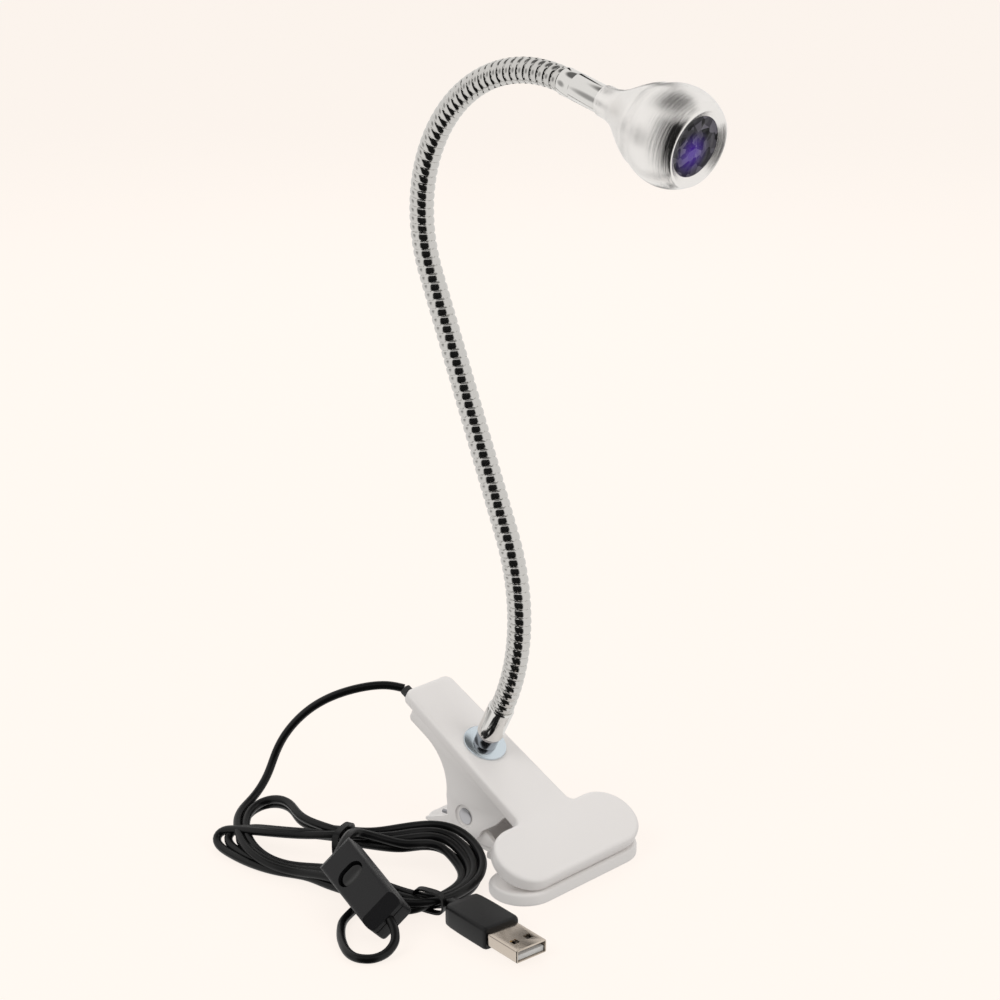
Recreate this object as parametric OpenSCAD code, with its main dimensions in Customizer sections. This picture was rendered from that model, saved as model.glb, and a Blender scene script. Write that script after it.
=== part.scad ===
// Clip-on UV curing lamp on a gooseneck, with a USB lead and an inline rocker switch.
// Millimetres.  X runs forward towards the jaws, Z up, Y across the clip.
// The origin is on the table, straight below the middle of the washer that the gooseneck stands on.

/* [Clip] */
// Angle between the upper arm's flat top and the table, jaws closed
arm_tilt = 27; // [24:1:30]
// Height of the upper arm's top face at the gooseneck washer
arm_height = 34; // [33:0.5:36]
// Distance from the washer's middle to the back end of the upper arm, along the arm
handle_reach = 31.5; // [29:0.5:36]
// Distance from the washer's middle to the front of the upper jaw, along the arm
jaw_reach = 55.5; // [55:0.25:56]
// Width of the jaws
jaw_w = 61; // [56:1:66]
// Width of the handle at its back end
handle_w = 21; // [21:0.5:23]
// Width of the arm where it meets the jaws
waist_w = 24; // [23:0.5:27]
// Depth of the upper arm's rim
rim_d = 5; // [4.8:0.1:5]
// Thickness of moulded walls
wall = 2.2; // [1.8:0.1:2.4]
// Thickness of the lower jaw
lower_jaw_t = 4.3; // [4:0.1:4.3]

/* [Hinge] */
// Hinge pin radius
pin_r = 1.5; // [1.2:0.1:1.8]
// Radial running clearance of the pin in the lower ears
pin_clear = 0.05; // [0.02:0.01:0.08]
// Wire diameter of the torsion spring
spring_wire_d = 1.6; // [1.2:0.1:1.8]

/* [Gooseneck] */
// Outer diameter of the flexible hose
hose_d = 8; // [7:0.5:9]
// Bore of the hose
hose_bore_d = 5.2; // [4.6:0.2:5.4]
// Length of the first, backward bend
bend_a_len = 64; // [60:1:68]
// Length of the straight middle
straight_len = 88; // [80:1:96]
// Length of the last, forward bend
bend_b_len = 112; // [104:1:120]
// Lean of the straight middle, from vertical
lean = -23; // [-26:1:-20]
// Direction in which the head looks, from straight up
head_dir = 104; // [100:1:110]
// Length of collar and ferrule under the hose
foot_len = 18; // [17:0.5:20]

/* [Head] */
// Radius of the ball-shaped head
ball_r = 15.3; // [15:0.1:15.6]
// Radius of the polished front edge
bezel_r = 11.9; // [11.5:0.1:12]
// Radius of the lens
lens_r = 9.3; // [9:0.1:9.4]
// Length of the ferrule behind the head
head_ferrule_len = 16.2; // [14:0.2:18]

/* [Cord] */
// Diameter of the lead
cord_d = 2.9; // [2.6:0.1:3]
// Height of the tied hank
hank_h = 13.5; // [12:0.5:14]
// Switch housing length
switch_l = 38; // [37:0.5:38]
// Switch housing width
switch_w = 13.4; // [13:0.1:14]
// Switch housing thickness
switch_t = 10; // [9:0.5:10]
// USB plug shell width, height and free length
usb_w = 12; // [12:0.1:12.2]
usb_h = 4.5; // [4.4:0.1:4.6]
usb_l = 14.4; // [12:0.2:15]

/* [Hidden] */

$fn = 48;
eps = 0.01;
gap = 0.1;

// Clip, in the upper arm's own frame: s along the arm, y across, n up out of its top face.
jaw_corner_r = 11.5;
jaw_mid_s = jaw_reach - jaw_corner_r;
lobe_y = jaw_w / 2 - jaw_corner_r;
pivot_x = 0.5;
pivot_z = 10.5;
pivot_s = pivot_x * cos(arm_tilt) - (pivot_z - arm_height) * sin(arm_tilt);
pivot_n = pivot_x * sin(arm_tilt) + (pivot_z - arm_height) * cos(arm_tilt);
ear_r = 8.5;
ear_t = 1.6;
skirt_y = 10.4;
skirt_d = 8;
lower_ear_y = skirt_y - ear_t - 0.2;
lower_ear_r = 6;
boss_r = 4.2;
lower_lobe_x = 37.1;
lower_back_x = -22;
lower_floor_t = 3;
pad_t = 0.8;
bite_z = lower_jaw_t + gap;
spring_r = 3.6;
spring_leg_r = 0.7;

// Foot of the gooseneck
washer_r = 7.6;
washer_t = 1;
collar_r = 4;
collar_top = 5.5;
ferrule_r = 4.5;
stud_r = 3.4;
stud_bore_r = 2.2;
stud_clear = 0.05;
nut_r = 6.2;
nut_t = 3;
lock_t = 0.8;
wire_r = 1.2;

// Gooseneck path: three pieces of constant bend, then the straight ferrule and head.
links_a = 2;
links_mid = 3;
links_b = 4;
link_ends = concat(
    [for (i = [0 : links_a - 1]) i * bend_a_len / links_a],
    [for (i = [0 : links_mid - 1]) bend_a_len + i * straight_len / links_mid],
    [for (i = [0 : links_b]) bend_a_len + straight_len + i * bend_b_len / links_b]
);
link_count = len(link_ends) - 1;
socket_r = hose_d / 2 + 0.15;
dome_r = hose_d / 2 - 0.1;
wire_gap = 1;

function turn(from, to, len) = (to - from) * PI / 180 / len;
turn_a = turn(arm_tilt, lean, bend_a_len);
turn_b = turn(lean, head_dir, bend_b_len);
function swing(start, a, b, k) =
    [start[0] + (cos(a) - cos(b)) / k, start[1] + (sin(b) - sin(a)) / k];
hose_start = [foot_len * sin(arm_tilt), arm_height + foot_len * cos(arm_tilt)];
bend_a_end = swing(hose_start, arm_tilt, lean, turn_a);
bend_b_start = bend_a_end + straight_len * [sin(lean), cos(lean)];
hose_end = swing(bend_b_start, lean, head_dir, turn_b);

// Heading, from straight up towards +X, and place [x, z] at a distance t along the hose
function heading(t) =
    t < bend_a_len ? arm_tilt + (lean - arm_tilt) * t / bend_a_len :
    t < bend_a_len + straight_len ? lean :
    lean + (head_dir - lean) * (t - bend_a_len - straight_len) / bend_b_len;
function place(t) =
    t < bend_a_len ? swing(hose_start, arm_tilt, heading(t), turn_a) :
    t < bend_a_len + straight_len
        ? bend_a_end + (t - bend_a_len) * [sin(lean), cos(lean)] :
    swing(bend_b_start, lean, heading(t), turn_b);

// Head
ball_back = 28.3;
ball_at = hose_end + (head_ferrule_len + ball_back) * [sin(head_dir), cos(head_dir)];
head_neck_r = 4.8;
front_z = sqrt(ball_r * ball_r - bezel_r * bezel_r);
lens_sink = 1.4;
bezel_t = 2.2;
cavity_r = lens_r + 0.5;
cavity_z = -7;
board_t = 1.6;
holder_t = 1.1;
head_ferrule_r = 4.3;

// Cord, plug and switch on the table
cord_r = cord_d / 2;
lead_route = [
    [-31.8, -7.2, 46.8], [-34, -8.5, 47.5], [-37, -11.5, 48], [-41, -16, 47.5],
    [-45.5, -21, 46], [-50, -26, 43.5], [-54.5, -30.5, 39.5], [-58.5, -34.5, 34],
    [-61.5, -38, 27.5], [-62.5, -41, 21], [-61, -44.5, 17], [-58.5, -47.5, 15.1]
];
wire_route = [
    [0, 0, foot_len], [0, 0, 4], [0, 0, -8], [-3, -1, -12], [-9, -3.5, -11.5], [-15, -5.5, -7],
    [-21, -6.8, -4], [-27, -7.2, -2.9], [-handle_reach - 2, -7.2, -2.9]
];
bridge_route = [[-12, -47, 13.6], [-11, -51, 15.3], [-8, -56.5, 16], [-4.4, -62.8, 14.2]];
loop_route = [
    [31.6, -73.3, 8.3], [35, -74.6, 6.5], [37.5, -77, 4.2], [38, -81, 2.2], [36.8, -85.5, 1.6],
    [33, -88.6, 1.6], [28, -88.2, 1.6], [22, -85, 1.6], [17, -81, 1.6], [13, -76.5, 1.6],
    [10.5, -71, 1.6], [9.2, -66.5, 1.6], [8.8, -62.4, 1.6]
];
cord_sides = 8;
lobe_h = 15;
low_h = 7.4;
hank_left = [-49, -57.5];
hank_left_r = 14;
hank_tail = [-30, -62];
hank_tail_r = 10;
hank_right = [11.5, -34.5];
hank_right_r = 18.2;
waist_ends = [[-30, -53], [-7, -44]];
waist_r = 5;
under_ends = [[-17.5, -60.5], [26, -54]];
hank_nose = [27, -47.5];
nose_r = 4.2;
hank_low = 0.1;
tie_1_at = [-20, -49.5];
tie_1_turn = 19.3;
tie_2_at = [26, -51];
tie_2_turn = -75;
tie_w = 2.4;
tie_t = 0.8;
switch_at = [13.6, -68.1, 11.3];
switch_bevel_l = 4.3;
switch_bevel_turn = 38;
switch_turn = [43, 9, -16];
rocker_l = 9;
rocker_w = 6.4;
rocker_x = -3;
rocker_pin_r = 0.8;
rocker_pin_l = 10.4;
rocker_pin_z = 1.8;
screw_x = 14;
screw_y = 3.6;
plug_at = [36.2, -47.1, 0];
plug_yaw = -6;
mould_l = 21;
mould_w = 14;
mould_h = 7.8;

// ---------- helpers ----------
// Puts children in the upper arm's frame
module on_arm() {
    translate([0, 0, arm_height]) rotate([0, arm_tilt, 0]) children();
}
// Puts children at a distance t along the hose, with +Z along it
module on_hose(t) {
    translate([place(t)[0], 0, place(t)[1]]) rotate([0, heading(t), 0]) children();
}
// Puts children in the head's frame: origin in the ball, +Z out through the lens
module on_head() {
    translate([ball_at[0], 0, ball_at[1]]) rotate([0, head_dir, 0]) children();
}
module on_switch() {
    translate(switch_at) rotate(switch_turn) children();
}
module on_plug() {
    translate(plug_at) rotate([0, 0, plug_yaw]) children();
}
module ring(r_out, r_in, h) {
    difference() {
        cylinder(r = r_out, h = h);
        translate([0, 0, -1]) cylinder(r = r_in, h = h + 2);
    }
}
// Round bar that follows the hose from ta to tb, both in the same piece of its path
module hose_bar(ta, tb, r, r_in = 0) {
    tm = (ta + tb) / 2;
    if (tm > bend_a_len && tm < bend_a_len + straight_len)
        on_hose(ta) linear_extrude(tb - ta) hose_section(r, r_in);
    else
        hose_arc(ta, tb, r, r_in, tm < bend_a_len ? turn_a : turn_b);
}
module hose_section(r, r_in) {
    difference() {
        circle(r = r);
        if (r_in > 0) circle(r = r_in);
    }
}
module hose_arc(ta, tb, r, r_in, k) {
    from = place(ta);
    a = heading(ta);
    b = k > 0 ? heading_before(tb) : heading(min(tb, bend_a_len - eps * eps));
    mid = from + [cos(a), -sin(a)] / k;
    translate([mid[0], 0, mid[1]]) rotate([90, 0, 0])
        rotate([0, 0, k > 0 ? 180 - b : -a])
            rotate_extrude(angle = abs(b - a), $fn = 96) translate([abs(1 / k), 0]) hose_section(r, r_in);
}
function heading_before(t) = lean + (head_dir - lean) * (t - bend_a_len - straight_len) / bend_b_len;
// Smooth curve through a list of points: Catmull-Rom, split each span in `steps`
function cr(p0, p1, p2, p3, t) =
    0.5 * (2 * p1 + (p2 - p0) * t + (2 * p0 - 5 * p1 + 4 * p2 - p3) * t * t
        + (3 * p1 - p0 - 3 * p2 + p3) * t * t * t);
function smooth(p, steps) = concat(
    [for (i = [0 : len(p) - 2], j = [0 : steps - 1])
        cr(p[max(i - 1, 0)], p[i], p[i + 1], p[min(i + 2, len(p) - 1)], j / steps)],
    [p[len(p) - 1]]);
function unit(v) = v / norm(v);
// Tube of cord_sides sides swept along a route
module swept(route, steps, tube_r = cord_r) {
    p = smooth(route, steps);
    n = len(p);
    tangents = [for (i = [0 : n - 1]) unit(p[min(i + 1, n - 1)] - p[max(i - 1, 0)])];
    rings = [for (i = [0 : n - 1])
        let (side = unit(cross(tangents[i], [0.3, 0.2, 1])), up = cross(side, tangents[i]))
        [for (k = [0 : cord_sides - 1])
            p[i] + tube_r * (cos(k * 360 / cord_sides) * side + sin(k * 360 / cord_sides) * up)]];
    points = [for (r = rings) each r];
    c = cord_sides;
    sides = [for (i = [0 : n - 2], k = [0 : c - 1], half = [0, 1])
        half == 0 ? [i * c + k, i * c + (k + 1) % c, (i + 1) * c + k]
            : [i * c + (k + 1) % c, (i + 1) * c + (k + 1) % c, (i + 1) * c + k]];
    first = [for (k = [0 : c - 1]) c - 1 - k];
    last = [for (k = [0 : c - 1]) (n - 1) * c + k];
    polyhedron(points = points, faces = concat([first], [for (f = sides) f], [last]));
}

// ---------- clip ----------
module arm_outline(inset) {
    half_back = handle_w / 2 - inset;
    half_waist = waist_w / 2 - inset;
    back = -handle_reach + inset;
    jaw_back = jaw_mid_s - jaw_corner_r + inset;
    polygon([
        [back + 3, -half_back], [back, -half_back + 3], [back, half_back - 3],
        [back + 3, half_back], [jaw_back + 1, half_waist], [jaw_back + 1, -half_waist]
    ]);
    for (side = [-1, 1]) translate([back + 3, side * (half_back - 3)]) circle(r = 3);
    jaw_outline(jaw_mid_s, inset);
}
module jaw_outline(mid, inset) {
    r = jaw_corner_r - inset;
    translate([mid - r, -lobe_y]) square([2 * r, 2 * lobe_y]);
    for (side = [-1, 1]) translate([mid, side * lobe_y]) circle(r = r);
}
// Side wall of the upper arm: skirt along the handle that grows into a round ear
module ear_outline() {
    difference() {
        polygon([
            [-handle_reach + 6, -wall], [-handle_reach + 6, -skirt_d], [pivot_s - ear_r - 1, -skirt_d],
            [pivot_s - ear_r, pivot_n], [pivot_s + ear_r, pivot_n],
            [pivot_s + 12.5, -rim_d], [jaw_mid_s - 15, -wall]
        ]);
        translate([pivot_s - 27, pivot_n - 5.3]) circle(r = 18, $fn = 96);
    }
    translate([pivot_s, pivot_n]) circle(r = ear_r);
}
module upper_ear(side) {
    translate([0, side * skirt_y + (side > 0 ? 0 : ear_t), 0]) rotate([90, 0, 0])
        linear_extrude(ear_t) ear_outline();
}
module upper_arm() color("white") {
    on_arm() difference() {
        union() {
            difference() {
                translate([0, 0, -rim_d]) linear_extrude(rim_d) arm_outline(0);
                translate([0, 0, -rim_d - 1]) linear_extrude(rim_d + 1 - wall) arm_outline(wall);
            }
            for (side = [-1, 1]) upper_ear(side);
            translate([jaw_reach - 12, -22, -rim_d]) cube([11, 44, rim_d - wall / 2]);
        }
        // hole for the stud, cord notch in the back wall, hinge holes with boss recesses
        translate([0, 0, -rim_d - 1]) cylinder(r = stud_r + stud_clear, h = rim_d + 2);
        translate([-handle_reach - 1, -7.2, -2.9]) rotate([0, 90, 0]) cylinder(r = 2, h = 5);
        translate([-handle_reach - 1, -9.2, -rim_d - 1]) cube([5, 4, rim_d + 1 - 2.9]);
        translate([pivot_s, 0, pivot_n]) rotate([90, 0, 0]) cylinder(r = pin_r, h = 40, center = true);
        for (side = [-1, 1]) translate([pivot_s, side * (skirt_y + 0.2), pivot_n])
            rotate([90, 0, 0]) cylinder(r = boss_r, h = 1.8, center = true);
        bite_cut();
    }
}
// Everything below the closed jaws' meeting plane, in the arm's frame
module bite_cut() {
    rotate([0, -arm_tilt, 0]) translate([20, -50, bite_z - arm_height - 40]) cube([60, 100, 40]);
    rotate([0, -arm_tilt, 0]) translate([36.6, -16.1, bite_z - arm_height - 1])
        cube([10.2, 32.2, pad_t + 1]);
}
module upper_pad() color([0.2, 0.2, 0.2]) {
    difference() {
        translate([37, -16, bite_z]) cube([9.7, 32, pad_t]);
        on_arm() translate([jaw_reach - 1, -30, -20]) cube([10, 60, 30]);
    }
}
module lower_outline(inset) {
    front = lower_lobe_x - jaw_corner_r;
    jaw_outline(lower_lobe_x, inset);
    translate([13, -waist_w / 2 + inset]) square([front - 12, waist_w - 2 * inset]);
    translate([lower_back_x + 5, -lower_ear_y + inset])
        square([18 - lower_back_x - 5, 2 * (lower_ear_y - inset)]);
    for (side = [-1, 1]) translate([lower_back_x + 5, side * (lower_ear_y - 5)]) circle(r = 5 - inset);
    translate([lower_back_x + inset, -lower_ear_y + 5]) square([6, 2 * lower_ear_y - 10]);
}
module lower_ear_outline() {
    polygon([
        [lower_back_x + 1.5, 0], [lower_back_x + 1.5, 2.4], [-5, 10],
        [6.5, 10], [13, lower_jaw_t], [13, 0]
    ]);
    translate([pivot_x, pivot_z]) circle(r = lower_ear_r);
}
module lower_arm() color("white") {
    difference() {
        union() {
            difference() {
                linear_extrude(lower_jaw_t) lower_outline(0);
                translate([lower_back_x - 1, -20, lower_floor_t]) cube([34.5, 40, 5]);
                translate([lower_lobe_x - 8.5, -24, lower_floor_t]) cube([7, 48, 5]);
            }
            for (side = [-1, 1])
                translate([0, side * lower_ear_y + (side > 0 ? 0 : ear_t), 0]) rotate([90, 0, 0])
                    linear_extrude(ear_t) lower_ear_outline();
        }
        translate([pivot_x, 0, pivot_z]) rotate([90, 0, 0])
            cylinder(r = pin_r + pin_clear, h = 40, center = true);
        translate([37, -16, lower_jaw_t - pad_t]) cube([9.7, 32, 5]);
    }
}
module lower_pad() color([0.2, 0.2, 0.2]) {
    translate([37, -16, lower_jaw_t - pad_t]) cube([9.7, 32, pad_t]);
}
module hinge_pin() color("silver") {
    length = 2 * (skirt_y - 0.7);
    translate([pivot_x, 0, pivot_z]) rotate([90, 0, 0]) {
        cylinder(r = pin_r, h = length, center = true);
        for (side = [-1, 1]) translate([0, 0, side * (length / 2 + 0.3)])
            cylinder(r = 2.9, h = 0.6, center = true);
    }
}
// Half of the torsion spring: side is -1 for the lower arm's half, 1 for the upper arm's
module spring_half(side) {
    wire = spring_wire_d / 2;
    turns = 3;
    pitch = spring_wire_d - 0.1;
    for (i = [0 : turns - 1])
        translate([pivot_x, side * (wire + 0.05 + i * pitch), pivot_z]) rotate([90, 0, 0])
            rotate_extrude() translate([spring_r, 0]) circle(r = wire);
}
module spring_lower_half() color("dimgray") {
    spring_half(-1);
    translate([pivot_x, -(spring_wire_d / 2 + 0.05 + 2 * (spring_wire_d - 0.1)), pivot_z - spring_r])
        rotate([0, -98, 0]) cylinder(r = spring_leg_r, h = 17);
}
module spring_upper_half() color("dimgray") {
    spring_half(1);
    translate([pivot_x, spring_wire_d / 2 + 0.05 + 2 * (spring_wire_d - 0.1), pivot_z])
        rotate([0, -arm_tilt - 10, 0]) translate([-spring_r, 0, 0])
            cylinder(r = spring_leg_r, h = 22.5);
}

// ---------- foot of the gooseneck ----------
module base_washer() color("lightsteelblue") on_arm() ring(washer_r, stud_r + stud_clear, washer_t);
module lock_washer() color("gray")
    on_arm() translate([0, 0, -wall - lock_t]) ring(5.6, stud_r + stud_clear, lock_t);
module clamp_nut() color("silver")
    on_arm() translate([0, 0, -wall - lock_t - nut_t]) difference() {
        cylinder(r = nut_r, h = nut_t, $fn = 6);
        translate([0, 0, -1]) cylinder(r = stud_r, h = nut_t + 2);
    }
module base_stud() color("silver")
    on_arm() translate([0, 0, -wall - lock_t - nut_t - 1.5])
        ring(stud_r, stud_bore_r, wall + lock_t + nut_t + 1.5 + 12);
module base_collar() color("silver")
    on_arm() translate([0, 0, washer_t]) ring(collar_r, stud_r + stud_clear, collar_top - washer_t);
module base_ferrule() color("silver") on_arm() translate([0, 0, collar_top]) difference() {
    cylinder(r = ferrule_r, h = foot_len - collar_top);
    translate([0, 0, -1]) cylinder(r = stud_r + stud_clear, h = 12 - collar_top + 1);
    cylinder(r = hose_bore_d / 2, h = 30);
}

// ---------- gooseneck ----------
module neck_link(i) {
    ta = link_ends[i - 1];
    tb = link_ends[i];
    bore = hose_bore_d / 2;
    difference() {
        union() {
            hose_bar(ta, tb, hose_d / 2, bore);
            if (i > 1) on_hose(ta) difference() {
                rotate([0, 0, 90]) sphere(r = dome_r);
                translate([0, 0, -10]) cylinder(r = bore + 0.05, h = 20);
                cylinder(r = 10, h = 10);
            }
        }
        if (i < link_count) on_hose(tb) rotate([0, 0, 90]) sphere(r = socket_r);
    }
}
module neck_wire(i) {
    ta = link_ends[i - 1] + (i > 1 ? wire_gap : 0);
    tb = link_ends[i] - (i < link_count ? wire_gap : 0);
    hose_bar(ta, tb, wire_r);
}
module arm_wire() color("black") on_arm() swept(wire_route, 3, wire_r);
module cord_grommet() color([0.15, 0.15, 0.15])
    on_arm() translate([-handle_reach - 2, -7.2, -2.9]) rotate([0, 90, 0]) {
        ring(1.95, wire_r, 5);
        translate([0, 0, 4.2]) ring(2.05, wire_r, 0.8);
    }

// ---------- head ----------
module head_ferrule() color("silver")
    on_head() translate([0, 0, -ball_back - head_ferrule_len])
        ring(head_ferrule_r, hose_bore_d / 2, head_ferrule_len);
module shell_profile() {
    difference() {
        union() {
            translate([0, -ball_back]) square([head_neck_r, ball_back]);
            polygon([[0, -24], [head_neck_r, -24], [6.2, -20.5], [9.2, -15.5], [13, -9], [0, -9]]);
            intersection() {
                circle(r = ball_r, $fn = 96);
                translate([0, -ball_r]) square([ball_r, ball_r + front_z - bezel_t]);
            }
        }
        translate([0, cavity_z]) square([cavity_r, 30]);
        translate([-1, -ball_back - 1]) square([1 + hose_bore_d / 2, 30]);
        translate([-40, -40]) square([40, 80]);
    }
}
module head_shell() color("gainsboro") on_head() difference() {
    rotate_extrude($fn = 96) shell_profile();
    for (a = [0, 180]) rotate([0, 0, a]) translate([6.5, 0, cavity_z - 4]) cylinder(r = 0.9, h = 5);
}
module head_bezel() color("silver") on_head() rotate_extrude($fn = 96) difference() {
    intersection() {
        circle(r = ball_r, $fn = 96);
        translate([0, front_z - bezel_t]) square([ball_r, bezel_t]);
    }
    polygon([
        [-1, 0], [lens_r, 0], [lens_r, front_z - lens_sink],
        [bezel_r - 0.3, front_z + eps], [-1, front_z + eps]
    ]);
}
module lens_cover() color([0.25, 0.15, 0.5])
    on_head() translate([0, 0, front_z - bezel_t]) cylinder(r = lens_r, h = bezel_t - lens_sink, $fn = 96);
module lens_seal() color("black")
    on_head() translate([0, 0, front_z - bezel_t - 0.8]) ring(lens_r + 0.4, lens_r - 0.5, 0.8);
module lens_body() color([0.6, 0.6, 0.7, 0.6]) on_head() translate([0, 0, cavity_z + board_t + 1.6])
    difference() {
        cylinder(r1 = 3.2, r2 = lens_r - holder_t - 0.1, h = 9.5);
        translate([0, 0, -1]) cylinder(r = 2, h = 4);
    }
module lens_holder() color([0.1, 0.1, 0.1]) on_head() translate([0, 0, cavity_z + board_t])
    difference() {
        ring(lens_r, lens_r - holder_t, front_z - bezel_t - cavity_z - board_t - 1);
        for (a = [90, 270]) rotate([0, 0, a]) translate([0, -2, -1]) cube([20, 4, 4]);
    }
module led_emitter() color("gold") on_head() translate([0, 0, cavity_z + board_t]) {
    cylinder(r = 1.8, h = 0.6);
    translate([0, 0, 0.6]) cylinder(r1 = 1.8, r2 = 1, h = 1.2);
}
module led_board() color("darkgreen") on_head() translate([0, 0, cavity_z]) difference() {
    cylinder(r = lens_r, h = board_t);
    for (a = [0, 180]) rotate([0, 0, a]) translate([6.5, 0, -1]) cylinder(r = 0.95, h = 5);
    rotate([0, 0, 90]) translate([6.5, 0, -1]) cylinder(r = 1.3, h = 5);
}
module board_screws() color("silver") on_head()
    for (a = [0, 180]) rotate([0, 0, a]) translate([6.5, 0, cavity_z - 3]) {
        cylinder(r = 0.85, h = 3 + board_t);
        translate([0, 0, 3 + board_t]) cylinder(r = 1.3, h = 0.8);
    }
module head_wire() color("red") on_head() {
    translate([0, 0, -ball_back - head_ferrule_len])
        cylinder(r = wire_r, h = ball_back + head_ferrule_len + cavity_z);
}

// ---------- cord ----------
module cord_lead() color("black") swept(lead_route, 2);
module cord_bridge() color("black") swept(bridge_route, 2);
module cord_loop() color("black") swept(loop_route, 2);
module slab(h) {
    translate([0, 0, hank_low]) linear_extrude(h - hank_low, $fn = 32) children();
}

module cord_hank() color("black") difference() {
    union() {
        slab(lobe_h) hull() {
            translate(hank_left) circle(r = hank_left_r);
            translate(hank_tail) circle(r = hank_tail_r);
        }
        slab(hank_h) translate(hank_right) circle(r = hank_right_r);
        slab(hank_h) hull() for (p = waist_ends) translate(p) circle(r = waist_r);
        slab(low_h) hull() {
            translate(under_ends[0]) circle(r = nose_r);
            translate(under_ends[1]) circle(r = nose_r);
            translate(hank_nose) circle(r = nose_r);
        }
    }
    tie_band(tie_1_at, tie_1_turn, waist_r + 1, hank_h, 1);
    tie_band(tie_2_at, tie_2_turn, nose_r + 1, low_h, 1);
}
// Band around part of the hank: a flat rectangular ring, `half` wide to each side. `extra` makes
// the ring thicker outwards, so that it cuts the band's seat out of the hank.
module tie_band(at, angle, half, high, extra) {
    inner_h = high - hank_low - 2 * tie_t;
    translate([at[0], at[1], hank_low]) rotate([0, 0, angle]) translate([-tie_w / 2, 0, 0]) difference() {
        translate([0, -half - extra, -extra]) cube([tie_w, 2 * (half + extra), high - hank_low + 2 * extra]);
        translate([-1, tie_t - half, tie_t]) cube([tie_w + 2, 2 * (half - tie_t), inner_h]);
    }
}
module tie_1() color("black") tie_band(tie_1_at, tie_1_turn, waist_r + 1, hank_h, 0);
module tie_2() color("black") tie_band(tie_2_at, tie_2_turn, nose_r + 1, low_h, 0);

// ---------- switch ----------
module switch_block(h) {
    linear_extrude(h) translate([-switch_l / 2, -switch_w / 2]) square([switch_l, switch_w]);
}
module switch_top() color([0.1, 0.1, 0.1]) on_switch() difference() {
    switch_block(switch_t / 2);
    for (a = [0, 180]) rotate([0, 0, a]) translate([switch_l / 2 - switch_bevel_l, -10, switch_t / 2])
        rotate([0, switch_bevel_turn, 0]) cube([20, 20, 10]);
    translate([-switch_l / 2 + 1.4, -switch_w / 2 + 1.4, -1])
        cube([switch_l - 2.8, switch_w - 2.8, 2.4]);
    translate([rocker_x, 0, -1]) oval_bar(rocker_w + 0.6, rocker_l + 0.6, switch_t);
    translate([rocker_x, 0, rocker_pin_z]) rotate([90, 0, 0])
        cylinder(r = rocker_pin_r + 0.05, h = rocker_pin_l + 0.4, center = true);
    rotate([0, 90, 0]) cylinder(r = cord_r + 0.05, h = 60, center = true);
}
module oval_bar(l, w, h) {
    for (side = [-1, 1]) translate([0, side * (w - l) / 2, 0]) cylinder(r = l / 2, h = h);
    translate([-l / 2, -(w - l) / 2, 0]) cube([l, w - l, h]);
}
module switch_bottom() color([0.1, 0.1, 0.1]) on_switch() difference() {
    translate([0, 0, -switch_t / 2]) switch_block(switch_t / 2);
    translate([-switch_l / 2 + 1.4, -switch_w / 2 + 1.4, -switch_t / 2 + 1.4])
        cube([switch_l - 2.8, switch_w - 2.8, switch_t / 2]);
    rotate([0, 90, 0]) cylinder(r = cord_r + 0.05, h = 60, center = true);
    for (x = [-screw_x, screw_x]) translate([x, screw_y, -switch_t]) cylinder(r = 1, h = switch_t);
}
module switch_rocker() color([0.05, 0.05, 0.05]) on_switch() translate([rocker_x, 0, 0]) {
    difference() {
        translate([0, 0, 1.2]) oval_bar(rocker_w, rocker_l, 3.4);
        translate([0, 0, 14.6]) rotate([90, 0, 0]) cylinder(r = 10.6, h = 20, center = true, $fn = 96);
    }
    translate([0, 0, rocker_pin_z]) rotate([90, 0, 0])
        cylinder(r = rocker_pin_r, h = rocker_pin_l, center = true);
}
module switch_contacts() color("goldenrod") on_switch()
    for (x = [-9.6, 1.6]) translate([x, -2, -switch_t / 2 + 1.4]) {
        cube([2, 4, 0.5]);
        cube([0.5, 4, 2.2]);
    }
module switch_screws() color("silver") on_switch()
    for (x = [-screw_x, screw_x]) translate([x, screw_y, -switch_t / 2]) cylinder(r = 0.95, h = 3);

// ---------- plug ----------
module plug_overmould() color([0.1, 0.1, 0.1]) on_plug() {
    translate([0, -mould_w / 2, 0]) difference() {
        cube([mould_l, mould_w, mould_h]);
        translate([mould_l - 6, (mould_w - usb_w) / 2, (mould_h - usb_h) / 2]) cube([10, usb_w, usb_h]);
    }
    translate([-4.6, 0, mould_h / 2]) rotate([0, 90, 0]) cylinder(r1 = 2, r2 = 3.2, h = 4.6);
}
module plug_shell() color("tan") on_plug() translate([mould_l - 6, -usb_w / 2, (mould_h - usb_h) / 2])
    difference() {
        cube([usb_l + 6, usb_w, usb_h]);
        translate([1, 0.35, 0.35]) cube([usb_l + 10, usb_w - 0.7, usb_h - 0.7]);
        for (y = [usb_w / 2 - 3.9, usb_w / 2 + 1.4])
            translate([usb_l - 1.6, y, usb_h - 1]) cube([2.5, 2.5, 2]);
    }
module plug_tongue() color("whitesmoke") on_plug()
    translate([mould_l - 5, -usb_w / 2 + 0.4, (mould_h - usb_h) / 2 + 0.4])
        cube([usb_l + 4.4, usb_w - 0.8, 1.8]);
module plug_contacts() color("gold") on_plug()
    for (i = [-1.5 : 1 : 1.5]) translate([mould_l, i * 2.4 - 0.5, (mould_h - usb_h) / 2 + 2.2])
        cube([usb_l - 2.4, 1, 0.2]);

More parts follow.
